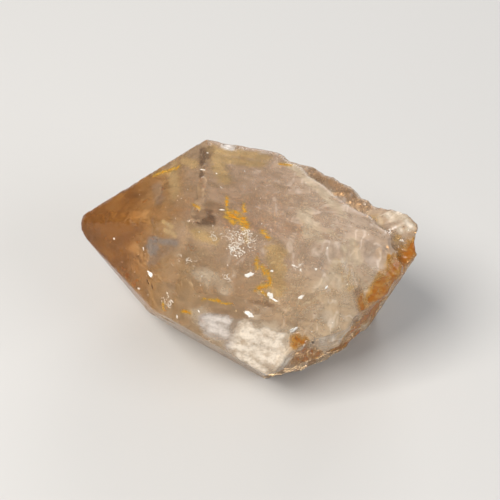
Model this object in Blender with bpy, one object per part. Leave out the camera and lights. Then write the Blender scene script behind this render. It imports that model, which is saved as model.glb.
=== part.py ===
"""A natural citrine point, lying on one of its long faces.

The crystal is a short six-sided column of quartz that ends in a six-faced tip. Its angles are
quartz's own. The tip is worn blunt, one lower face leans so that the column widens towards the base,
and the base is a rough break with a ledge behind the upper face. It is one piece: one solid.

X runs along the crystal from the tip to the base, -Y is its front and Z is up. Run it with
blender --background --python part.py, or from Blender's text editor.
"""

import math

import bmesh
import bpy
from mathutils import Matrix, Vector, noise

MM = 0.001
ON_PLANE = 1e-7  # a point this near a plane, in metres, counts as on it

# Directions across the crystal, in degrees: 0 is its front and 90 is up.
FRONT, TOP, LOWER_FRONT, REST, LOWER_REAR, UPPER_REAR = 30, 90, -30, -90, -150, 150


def across(angle):
    """The direction across the crystal at an angle: 0 is the front and 90 is up."""
    turn = math.radians(angle)
    return Vector((0.0, -math.cos(turn), math.sin(turn)))


# The growth form. Lengths along the crystal start at the sharp tip that wear has taken off.
THICKNESS = 27.8 * MM  # between the long face that it lies on and the one on top
MIDDLE = THICKNESS / 2
TIP_SLOPE = math.radians(38.21)  # between a tip face and the crystal's length, as on all quartz
BLOCK_LENGTH = 60.0 * MM
BLOCK_RADIUS = 24.0 * MM
LEAN_FOOT_NEAR = Vector((17.2, -5.4, 0.0)) * MM  # the leaning lower face, by three of its points
LEAN_FOOT_FAR = Vector((32.9, -12.0, 0.0)) * MM
LEAN_TOP = Vector((17.4, -14.9, 14.4)) * MM

TIP_SETBACK = {REST: 1.3 * MM, LOWER_REAR: 0.7 * MM}  # two tip faces lie deeper than the others

# Wear on the growth form.
TIP_LOSS = 1.6 * MM
TIP_WORN_RADIUS = 1.1 * MM
TIP_WORN_STEPS = 3
SHARP_ANGLE = math.radians(24)
EDGE_WEAR = 0.22 * MM
SMALLEST_EDGE = 0.02 * MM

# The rough breaks that end the crystal: a point on each, the way it faces and how bumpy it is.
BREAKS = {
    "shoulder": (Vector((38.4, -11.8, 20.5)) * MM, Vector((0.34, -0.81, 0.47)), 0.50 * MM),
    "front foot": (Vector((37.5, -8.5, 0.0)) * MM, Vector((1.0, -1.26, -0.56)), 0.70 * MM),
    "far foot": (Vector((44.6, -2.3, 0.0)) * MM, Vector((1.0, -0.66, -0.25)), 0.80 * MM),
    "end": (Vector((50.4, -0.9, 20.0)) * MM, Vector((1.0, 0.17, 0.22)), 0.70 * MM),
    "rear": (Vector((41.7, 7.2, 26.0)) * MM, Vector((1.0, 3.50, 2.10)), 0.80 * MM),
    "rear end": (Vector((40.7, 6.0, 25.0)) * MM, Vector((1.0, 1.60, 0.90)), 0.70 * MM),
    "low rear": (Vector((46.0, 9.0, 4.0)) * MM, Vector((1.0, 0.90, -0.50)), 0.90 * MM),
}
# Behind the upper face a ledge drops to a rough shelf that rises again towards the rear.
LEDGE_WALL = (Vector((35.4, 3.8, 25.0)) * MM, Vector((0.55, 0.82, 0.15)), 0.70 * MM)
LEDGE_SHELF = (Vector((35.4, 3.8, 23.6)) * MM, Vector((-0.19, -0.28, 0.94)), 1.10 * MM)
BREAK_CENTRE = Vector((29.0, 0.0, 13.0)) * MM  # every break can be seen from here, inside the crystal
BREAK_DETAIL = 6  # how many times the ball that the breaks are made from is divided
BREAK_FAR = 90.0 * MM
BOWL_LENGTH = 6.5 * MM
BOWL_STEEPNESS = 3.0
BUMP_LENGTH = 4.0 * MM
BUMP_SHARE = 0.45  # how high the small bumps are, next to the bowls
BUMP_OCTAVES = 4
RIPPLE_CENTRE = Vector((52.0, 2.0, 27.0)) * MM
RIPPLE_LENGTH = 3.4 * MM
RIPPLE_HEIGHT = 0.14 * MM

# Scars and chips. Each is a shallow bowl: its centre, the way it faces, its two radii and its depth
# in millimetres, and how many degrees it is turned about the way it faces.
FACING_FRONT = across(FRONT)
FACING_TIP_FRONT = across(FRONT) * math.cos(TIP_SLOPE) - Vector((math.sin(TIP_SLOPE), 0, 0))
CHIPS = {
    "near_scar": (Vector((23.5, -15.5, 14.9)) * MM, FACING_FRONT, (2.7, 2.2, 0.35), 20),
    "middle_scar": (Vector((27.3, -15.4, 15.1)) * MM, FACING_FRONT, (3.2, 2.2, 0.35), -20),
    "far_scar": (Vector((30.9, -16.6, 13.0)) * MM, FACING_FRONT, (4.4, 3.4, 0.60), 40),
    "arched_scar": (Vector((36.1, -14.0, 17.5)) * MM, Vector((0.2, -0.85, 0.48)), (3.2, 2.6, 0.55), 0),
    "leaf_scar": (Vector((43.5, -11.0, 19.9)) * MM, Vector((0.36, -0.85, 0.35)), (2.9, 1.7, 0.70), 60),
    "corner_chip": (Vector((16.9, -12.2, 10.6)) * MM, Vector((-0.4, -0.8, -0.4)), (1.5, 1.2, 0.60), 0),
    "rim_chip": (Vector((21.2, 7.6, 27.8)) * MM, Vector((0.0, 0.3, 0.95)), (1.3, 0.9, 0.35), 0),
    "tip_pit": (Vector((13.7, -10.2, 17.7)) * MM, FACING_TIP_FRONT, (0.8, 0.5, 0.25), 70),
    "front_pit_1": (Vector((30.6, -12.4, 20.2)) * MM, FACING_FRONT, (1.1, 0.7, 0.30), -40),
    "front_pit_2": (Vector((27.2, -11.2, 22.4)) * MM, FACING_FRONT, (0.7, 0.6, 0.25), 0),
    "front_pit_3": (Vector((27.9, -13.9, 17.7)) * MM, FACING_FRONT, (0.9, 0.5, 0.25), -15),
    "front_pit_4": (Vector((34.9, -14.4, 16.0)) * MM, FACING_FRONT, (0.9, 0.8, 0.30), 30),
    "rear_edge_chip": (Vector((25.3, 15.9, 13.8)) * MM, Vector((0.0, 1.0, 0.1)), (2.3, 1.3, 0.60), 65),
    "under_chip": (Vector((20.4, 8.2, 0.2)) * MM, Vector((0.0, 0.6, -0.8)), (1.8, 1.2, 0.50), 75),
}

SMALL_CHIP = 1.6  # a chip of a smaller radius is cut with fewer faces
CHIP_SEGMENTS = 20
SMALL_CHIP_SEGMENTS = 12
CHIP_RAGGEDNESS = 0.45
CHIP_NOTCH = 0.55 * MM  # the length of the notches round a chip, for each millimetre of its radius

SEED = Vector((3.1, 7.7, 1.9))


def new_object(name, mesh_builder, collection, is_cutter=False):
    """An object in a collection, from a bmesh. A cutter is hidden from renders."""
    mesh = bpy.data.meshes.new(name)
    mesh_builder.to_mesh(mesh)
    mesh_builder.free()
    made = bpy.data.objects.new(name, mesh)
    collection.objects.link(made)
    if is_cutter:
        made.hide_render = True
        made.display_type = "WIRE"
    return made


def new_collection(name):
    made = bpy.data.collections.new(name)
    bpy.context.scene.collection.children.link(made)
    return made


def slice_off(shape, point, normal):
    """Cuts away what lies beyond a plane and closes the cut with one flat face."""
    whole = shape.verts[:] + shape.edges[:] + shape.faces[:]
    bmesh.ops.bisect_plane(
        shape, geom=whole, dist=ON_PLANE, plane_co=point, plane_no=normal, clear_outer=True
    )
    rim = [edge for edge in shape.edges if edge.is_boundary]
    bmesh.ops.holes_fill(shape, edges=rim, sides=0)


def growth_form():
    """The unbroken crystal: a hexagonal column, its six tip faces and the leaning lower face."""
    shape = bmesh.new()
    lying = Matrix.Translation((BLOCK_LENGTH / 2, 0, MIDDLE)) @ Matrix.Rotation(math.pi / 2, 4, "Y")
    bmesh.ops.create_cone(
        shape, cap_ends=True, segments=6, radius1=BLOCK_RADIUS, radius2=BLOCK_RADIUS,
        depth=BLOCK_LENGTH, matrix=lying,
    )
    centre = Vector((0, 0, MIDDLE))
    for angle in (FRONT, TOP, REST, LOWER_REAR, UPPER_REAR):
        slice_off(shape, centre + across(angle) * MIDDLE, across(angle))
    for angle in (FRONT, TOP, LOWER_FRONT, REST, LOWER_REAR, UPPER_REAR):
        normal = across(angle) * math.cos(TIP_SLOPE) - Vector((math.sin(TIP_SLOPE), 0, 0))
        slice_off(shape, centre - normal * TIP_SETBACK.get(angle, 0), normal)
    lean = (LEAN_FOOT_FAR - LEAN_FOOT_NEAR).cross(LEAN_TOP - LEAN_FOOT_NEAR)
    slice_off(shape, LEAN_TOP, lean if lean.y < 0 else -lean)
    return shape


def wear(shape):
    """Blunts the tip and takes the sharpness off every edge."""
    slice_off(shape, Vector((TIP_LOSS, 0, MIDDLE)), Vector((-1, 0, 0)))
    tip = [edge for edge in shape.edges if all(v.co.x < TIP_LOSS + ON_PLANE for v in edge.verts)]
    bmesh.ops.bevel(
        shape, geom=tip, offset=TIP_WORN_RADIUS, offset_type="OFFSET", affect="EDGES",
        segments=TIP_WORN_STEPS, profile=0.5, material=-1, clamp_overlap=True,
    )
    sharp = [edge for edge in shape.edges if edge.calc_face_angle(0) > SHARP_ANGLE]
    bmesh.ops.bevel(
        shape, geom=sharp, offset=EDGE_WEAR, offset_type="OFFSET", affect="EDGES",
        segments=1, profile=0.5, material=-1, clamp_overlap=True,
    )
    bmesh.ops.remove_doubles(shape, verts=shape.verts[:], dist=SMALLEST_EDGE)
    bmesh.ops.triangulate(shape, faces=shape.faces[:])


def bumpy(place, height):
    """How far a broken surface stands out at a place.

    Quartz breaks like glass, in shallow bowls that meet in ridges, with ripples about one point.
    """
    to_bowl_centre = noise.voronoi(place / BOWL_LENGTH + SEED)[0][0]
    bowls = BOWL_STEEPNESS * to_bowl_centre**2 - 1
    bumps = noise.fractal(place / BUMP_LENGTH + SEED, 1.0, 2.0, BUMP_OCTAVES) * BUMP_SHARE
    ripple = math.cos((place - RIPPLE_CENTRE).length / RIPPLE_LENGTH * 2 * math.pi)
    return (bowls + bumps) * height + ripple * RIPPLE_HEIGHT


def reach(direction, point, facing, height):
    """How far one break is from the middle of them all, in one direction."""
    facing = facing.normalized()
    towards = direction.dot(facing)
    if towards <= 0:
        return BREAK_FAR
    flat = facing.dot(point - BREAK_CENTRE) / towards
    if flat > BREAK_FAR:
        return BREAK_FAR
    return flat + bumpy(BREAK_CENTRE + direction * flat, height) / towards


def broken_block():
    """The block whose bumpy faces are the breaks. It stands well clear of the crystal elsewhere."""
    shape = bmesh.new()
    bmesh.ops.create_icosphere(shape, subdivisions=BREAK_DETAIL, radius=1.0)
    for vert in shape.verts:
        direction = vert.co.normalized()
        nearest = min(reach(direction, *one) for one in BREAKS.values())
        ledge = max(reach(direction, *LEDGE_WALL), reach(direction, *LEDGE_SHELF))
        vert.co = BREAK_CENTRE + direction * min(nearest, ledge)
    return shape


def chip_cutter(centre, facing, radii, turn):
    """A flattened ball, sunk to its middle in the surface that it leaves a shallow bowl in."""
    shape = bmesh.new()
    placed = Matrix.Translation(centre) @ facing.normalized().to_track_quat("Z", "Y").to_matrix().to_4x4()
    spun = placed @ Matrix.Rotation(math.radians(turn), 4, "Z")
    segments = CHIP_SEGMENTS if radii[0] > SMALL_CHIP else SMALL_CHIP_SEGMENTS
    bmesh.ops.create_uvsphere(
        shape, u_segments=segments, v_segments=segments // 2, radius=MM,
        matrix=spun @ Matrix.Diagonal((*radii, 1)),
    )
    for vert in shape.verts:
        vert.co += (vert.co - centre) * noise.noise(vert.co / (radii[0] * CHIP_NOTCH)) * CHIP_RAGGEDNESS
    return shape


def citrine():
    """Warm brown-yellow quartz: glassy, hazy and partly see-through."""
    made = bpy.data.materials.new("citrine")
    made.use_nodes = True
    shader = made.node_tree.nodes["Principled BSDF"]
    shader.inputs["Base Color"].default_value = (0.42, 0.27, 0.14, 1.0)
    shader.inputs["Roughness"].default_value = 0.15
    shader.inputs["Metallic"].default_value = 0.0
    shader.inputs["IOR"].default_value = 1.544
    shader.inputs["Transmission Weight"].default_value = 0.6
    return made


def shape_with(solid, tool, operation):
    """Cuts the solid with another object, or keeps what the two share."""
    change = solid.modifiers.new(tool.name, "BOOLEAN")
    change.operation = operation
    change.solver = "EXACT"
    change.object = tool


def centre_on_its_foot(crystal):
    """Moves everything so that the middle of the crystal's box is over the origin."""
    found = crystal.evaluated_get(bpy.context.evaluated_depsgraph_get())
    corners = [Vector(corner) for corner in found.bound_box]
    middle = (corners[0] + corners[6]) / 2
    stand = bpy.data.objects.new("stand", None)
    bpy.context.scene.collection.objects.link(stand)
    for placed in bpy.data.objects:
        if placed is not stand:
            placed.parent = stand
    stand.location = (-middle.x, -middle.y, -corners[0].z)


def main():
    for left_over in list(bpy.data.objects):
        bpy.data.objects.remove(left_over, do_unlink=True)
    parts = new_collection("citrine_point")
    cutters = new_collection("cutters")
    shape = growth_form()
    wear(shape)
    crystal = new_object("crystal", shape, parts)
    crystal.data.materials.append(citrine())
    shape_with(crystal, new_object("broken_block", broken_block(), cutters, is_cutter=True), "INTERSECT")
    for name, chip in CHIPS.items():
        cutter = new_object(name, chip_cutter(*chip), cutters, is_cutter=True)
        shape_with(crystal, cutter, "DIFFERENCE")
    centre_on_its_foot(crystal)


main()
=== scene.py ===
# %% [markdown]
# A natural citrine point
#
# This lesson dresses one lump of quartz: a short six-sided crystal with a faceted tip at one end and
# a rough break at the other. Quartz is clear in itself. Haze, stains, tiny bubbles and worn edges
# make it look natural. The construction model gives the true shape and size, so it is loaded first.

# %% Load the construction model
import math
import random

import bmesh
import bpy
import numpy as np
from mathutils import Matrix, Vector, noise
from mathutils.bvhtree import BVHTree


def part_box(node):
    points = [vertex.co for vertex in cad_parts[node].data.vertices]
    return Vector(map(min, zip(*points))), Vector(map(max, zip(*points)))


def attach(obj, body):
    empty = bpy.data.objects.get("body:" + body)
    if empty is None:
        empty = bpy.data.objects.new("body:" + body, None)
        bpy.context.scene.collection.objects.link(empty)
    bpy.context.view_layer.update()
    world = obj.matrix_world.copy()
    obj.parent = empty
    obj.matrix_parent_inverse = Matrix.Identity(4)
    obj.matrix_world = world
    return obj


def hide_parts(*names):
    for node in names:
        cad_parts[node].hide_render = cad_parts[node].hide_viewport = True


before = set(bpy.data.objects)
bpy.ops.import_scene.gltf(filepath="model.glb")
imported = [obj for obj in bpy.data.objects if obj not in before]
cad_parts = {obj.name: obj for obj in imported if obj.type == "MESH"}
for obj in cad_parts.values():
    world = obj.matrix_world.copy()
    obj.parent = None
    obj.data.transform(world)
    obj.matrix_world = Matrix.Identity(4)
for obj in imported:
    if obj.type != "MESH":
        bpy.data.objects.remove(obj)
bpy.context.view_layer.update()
MM = 0.001
low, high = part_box("crystal")
size = (high - low) / MM
print(f"the crystal is {size.x:.1f} mm long, {size.y:.1f} mm wide and {size.z:.1f} mm high")

# %% [markdown]
# Places on a crystal are easiest to give along its own length. The sharp tip that it grew with is
# the origin here, X runs from there towards the broken base, and lengths are in millimetres.

# %% Measure from the tip that the crystal grew with
TIP_WORN_OFF = 1.6
REAR_EDGE = 15.94
sharp_tip = Vector((low.x - TIP_WORN_OFF * MM, high.y - REAR_EDGE * MM, 0.0))


def on_crystal(x, y, z):
    """A place in the world, from millimetres along, across and above the crystal's own origin."""
    return sharp_tip + Vector((x, y, z)) * MM


print("the sharp tip would be at", tuple(round(value / MM, 2) for value in sharp_tip))

# %% [markdown]
# The camera looks down on the crystal from the front, a little rolled, as if held by hand. A place
# and three angles are easy to change one at a time. A long lens keeps the tip and base in proportion.
# The helper in this cell puts each thing in the scene.

# %% Set up the camera
CAMERA_PLACE = on_crystal(24.76, -115.33, 145.16)
CAMERA_TURN = math.radians(1.0)
CAMERA_HEIGHT_ANGLE = math.radians(48.5)
CAMERA_ROLL = math.radians(11.0)
LENS_MM = 85.0


def put_in_scene(name, data):
    """A new object in the scene, made from a mesh, a curve, a lamp or a camera."""
    made = bpy.data.objects.new(name, data)
    bpy.context.scene.collection.objects.link(made)
    return made


camera = put_in_scene("camera", bpy.data.cameras.new("camera"))
camera.data.lens = LENS_MM
camera.data.clip_start = MM
camera.location = CAMERA_PLACE
away = Vector((
    -math.sin(CAMERA_TURN) * math.cos(CAMERA_HEIGHT_ANGLE),
    -math.cos(CAMERA_TURN) * math.cos(CAMERA_HEIGHT_ANGLE),
    math.sin(CAMERA_HEIGHT_ANGLE),
))
aim = away.to_track_quat("Z", "Y").to_matrix() @ Matrix.Rotation(CAMERA_ROLL, 3, "Z")
camera.rotation_euler = aim.to_euler()
bpy.context.scene.camera = camera
print(f"the camera is {CAMERA_PLACE.length / MM:.0f} mm away")

# %% [markdown]
# The stage is a plain pale floor, a hair below the crystal so that the two don't share a plane. One
# flat face is enough for it, because the floor has no edge in view.

# %% Lay the floor
FLOOR_SIZE = 3.0
FLOOR_GAP = 0.02 * MM
PAPER_COLOUR = (0.62, 0.61, 0.59, 1)
PAPER_ROUGHNESS = 0.7

floor_shape = bmesh.new()
bmesh.ops.create_grid(floor_shape, x_segments=1, y_segments=1, size=FLOOR_SIZE / 2)
floor_mesh = bpy.data.meshes.new("floor")
floor_shape.to_mesh(floor_mesh)
floor_shape.free()
floor_mesh.transform(Matrix.Translation((0, 0, -FLOOR_GAP)))
floor = put_in_scene("floor", floor_mesh)
paper = bpy.data.materials.new("pale_paper")
paper.use_nodes = True
surface = paper.node_tree.nodes["Principled BSDF"].inputs
surface["Base Color"].default_value = PAPER_COLOUR
surface["Roughness"].default_value = PAPER_ROUGHNESS
floor_mesh.materials.append(paper)
print(f"the floor is {FLOOR_SIZE:.0f} m wide")

# %% [markdown]
# Soft light comes from one large lamp at the front left, with weaker ones to the right and behind.
# Area lamps are used because a wide lamp gives soft shadows. A pale world fills those shadows, and
# the glass mirrors it.

# %% Hang the lamps
LAMPS = {
    # name: place in metres, power in watts, width in metres, colour
    "front_left": ((-0.25, -0.20, 0.45), 3.2, 0.25, (1.0, 0.97, 0.93)),
    "right": ((0.45, -0.10, 0.30), 0.9, 0.35, (0.95, 0.97, 1.0)),
    "behind": ((0.05, 0.50, 0.25), 0.9, 0.30, (1.0, 1.0, 1.0)),
}
for name, (place, power, width, colour) in LAMPS.items():
    lamp = bpy.data.lights.new(name, "AREA")
    lamp.energy = power
    lamp.size = width
    lamp.color = colour
    hung = put_in_scene(name, lamp)
    hung.location = place
    hung.rotation_euler = (-Vector(place)).to_track_quat("-Z", "Y").to_euler()

SKY_COLOUR = (0.92, 0.94, 1.0, 1)
SKY_STRENGTH = 0.25
bpy.context.scene.view_settings.view_transform = "Standard"
world = bpy.data.worlds.new("studio")
world.use_nodes = True
sky = world.node_tree.nodes["Background"].inputs
sky["Color"].default_value = SKY_COLOUR
sky["Strength"].default_value = SKY_STRENGTH
bpy.context.scene.world = world
print(len(LAMPS), "lamps and a pale world")

# %% [markdown]
# The construction solid has true faces but a coarse surface, and fine relief needs a closer mesh.
# Voxel remeshing gives one even skin of small faces, and a little smoothing turns its razor edges
# into the slightly worn ones of a handled crystal.

# %% Cover the crystal with an even skin
VOXEL = 0.26 * MM
MERGE_WITHIN = 0.001 * MM
SMOOTHING_ROUNDS = 3
SMOOTHING_SHARE = 0.5

rough_copy = bmesh.new()
rough_copy.from_mesh(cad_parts["crystal"].data)
bmesh.ops.remove_doubles(rough_copy, verts=rough_copy.verts[:], dist=MERGE_WITHIN)
solid_mesh = bpy.data.meshes.new("crystal_solid")
rough_copy.to_mesh(solid_mesh)
rough_copy.free()


def mesh_from(data, voxel=None):
    """A new mesh of what a mesh or a curve shows, covered with an even skin where a voxel is given."""
    holder = put_in_scene("holder", data)
    if voxel:
        skin = holder.modifiers.new("skin", "REMESH")
        skin.mode = "VOXEL"
        skin.voxel_size = voxel
    shown = holder.evaluated_get(bpy.context.evaluated_depsgraph_get())
    made = bpy.data.meshes.new_from_object(shown)
    bpy.data.objects.remove(holder)
    return made


skin_mesh = mesh_from(solid_mesh, VOXEL)
skin_shape = bmesh.new()
skin_shape.from_mesh(skin_mesh)
for _ in range(SMOOTHING_ROUNDS):
    bmesh.ops.smooth_vert(
        skin_shape, verts=skin_shape.verts[:], factor=SMOOTHING_SHARE,
        use_axis_x=True, use_axis_y=True, use_axis_z=True,
    )
skin_shape.to_mesh(skin_mesh)
skin_shape.free()
print(f"the skin has {len(skin_mesh.vertices)} points and {len(skin_mesh.polygons)} faces")

# %% [markdown]
# Quartz has two kinds of surface: flat faces that it grew with, and breaks. Telling them apart
# lets each take its own finish. The growth faces are the large flat ones, so this cell adds up the
# area that lies in each plane and keeps the planes with a lot of it.

# %% Find the growth faces
SMALLEST_GROWTH_FACE = 9.0 * MM * MM
areas = {}
for face in solid_mesh.polygons:
    offset = face.normal.dot(face.center) / MM
    way = (*(round(value, 2) for value in face.normal), round(offset, 1))
    total, direction, reach = areas.get(way, (0.0, Vector(), 0.0))
    areas[way] = (
        total + face.area, direction + face.normal * face.area, reach + offset * face.area
    )
growth_faces = [
    (direction.normalized(), reach / total)
    for total, direction, reach in areas.values() if total > SMALLEST_GROWTH_FACE
]
for direction, reach in growth_faces:
    print("a growth face looks", tuple(round(value, 2) for value in direction), f"at {reach:.2f} mm")

# %% [markdown]
# Each point of the skin now learns two things: how broken the surface is there, and how near it is
# to an edge between two faces. Both come from its distances to the growth faces. A point on none
# of them is on a break, and a point close to two of them is on an edge.

# %% Tell faces, breaks and edges apart
FLAT_WITHIN = 0.06
BROKEN_BEYOND = 0.30
EDGE_REACH = 0.45


def skin_arrays(mesh):
    """The points of a mesh in millimetres in the world, and the way each one faces."""
    points = np.empty(len(mesh.vertices) * 3)
    mesh.vertices.foreach_get("co", points)
    ways = np.empty(len(mesh.vertices) * 3)
    mesh.vertices.foreach_get("normal", ways)
    return points.reshape(-1, 3) / MM, ways.reshape(-1, 3)


def smooth_step(start, end, values):
    """0 below the start, 1 above the end and a soft rise between them."""
    share = np.clip((values - start) / (end - start), 0, 1)
    return share * share * (3 - 2 * share)


points, ways = skin_arrays(skin_mesh)
to_faces = np.abs(np.stack([points @ np.array(way) - reach for way, reach in growth_faces], axis=1))
to_faces.sort(axis=1)
broken = smooth_step(FLAT_WITHIN, BROKEN_BEYOND, to_faces[:, 0])
edge_nearness = np.exp(-((to_faces[:, 1] / EDGE_REACH) ** 2)) * (1 - broken)
print(f"{broken.mean():.0%} of the skin is broken and {edge_nearness.mean():.1%} is close to an edge")

# %% [markdown]
# One corner of the break has chipped off flat. A cut by a plane would do it, but the points of the
# skin only have to move: those beyond the chip's plane go straight back to it.

# %% Chip one corner
CHIP_PLACE = np.array([48.27, -5.52, 20.65])
CHIP_WAY = np.array([0.9069, -0.3859, -0.1691])

local = points - np.array(sharp_tip) / MM
beyond = np.clip((local - CHIP_PLACE) @ CHIP_WAY, 0, None)
local -= CHIP_WAY * beyond[:, None]
points -= CHIP_WAY * beyond[:, None]
print(f"the chip takes {beyond.max():.2f} mm off the corner")

# %% [markdown]
# Now the relief. A break in quartz is shell-like: smooth bowls crossed by fine ripples, with sharp
# little steps where cracks met. Edges carry nicks, and the growth faces stay flat. Sculpting could
# give this, but a noise can be changed by a number. Each point of the skin is moved along the way
# that it faces.

# %% Carve the fine relief
STEP_LENGTH = 1.3
STEP_HEIGHT = 0.08
STEP_SPREAD = 2.6  # how much longer the second set of steps is
STEP_MIDDLE = 0.45
RIPPLE_START = np.array([52.0, 2.0, 27.0])
RIPPLE_LENGTH = 0.95
RIPPLE_HEIGHT = 0.035
BEND_LENGTH = 5.0
BEND = 1.6
GRIT_LENGTH = 0.55
GRIT_HEIGHT = 0.02
NICK_LENGTHS = (0.9, 0.4)
NICK_DEPTH = 0.22
LEAST_BROKEN = 0.02
LEAST_EDGE = 0.05
SEED_STEP = 17.3


def noise_at(places, length, seed):
    """A noise value for each place: bumps of a length, in millimetres, from a seed."""
    shifted = places / length + seed * SEED_STEP
    return np.array([noise.noise(Vector(place)) for place in shifted])


def ridged(places, length, seed):
    """A noise of thin sharp ridges, from 0 to 1."""
    return 1 - np.abs(noise_at(places, length, seed)) * 2


relief = np.zeros(len(points))
on_break = broken > LEAST_BROKEN
places = local[on_break]
bend = noise_at(places, BEND_LENGTH, 1) * BEND
steps = ridged(places, STEP_LENGTH, 2) * ridged(places, STEP_LENGTH * STEP_SPREAD, 3)
rounds = (np.linalg.norm(places - RIPPLE_START, axis=1) + bend) / RIPPLE_LENGTH
ripples = np.sin(rounds * 2 * math.pi)
grit = noise_at(places, GRIT_LENGTH, 4)
relief[on_break] = broken[on_break] * (
    (steps - STEP_MIDDLE) * STEP_HEIGHT + ripples * RIPPLE_HEIGHT + grit * GRIT_HEIGHT
)
on_edge = edge_nearness > LEAST_EDGE
long_nicks = noise_at(local[on_edge], NICK_LENGTHS[0], 5)
short_nicks = noise_at(local[on_edge], NICK_LENGTHS[1], 6)
nicks = np.clip(long_nicks + short_nicks * 0.5, 0, 1)
relief[on_edge] -= edge_nearness[on_edge] * nicks * NICK_DEPTH
points += ways * relief[:, None]
skin_mesh.vertices.foreach_set("co", (points * MM).astype(np.float32).ravel())
skin_mesh.update()
skin_mesh.polygons.foreach_set("use_smooth", [True] * len(skin_mesh.polygons))
print(f"the relief runs from {relief.min():.2f} to {relief.max():.2f} mm")

# %% [markdown]
# The carved skin becomes the crystal itself, in place of the plain solid. It is one piece, because
# a crystal grows as one. Its origin stays at the world's, so that patterns lie where they should.

# %% Make the crystal
crystal = put_in_scene("citrine_crystal", skin_mesh)
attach(crystal, "root")
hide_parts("crystal")
print(f"the crystal has {len(skin_mesh.polygons)} faces")
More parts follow.
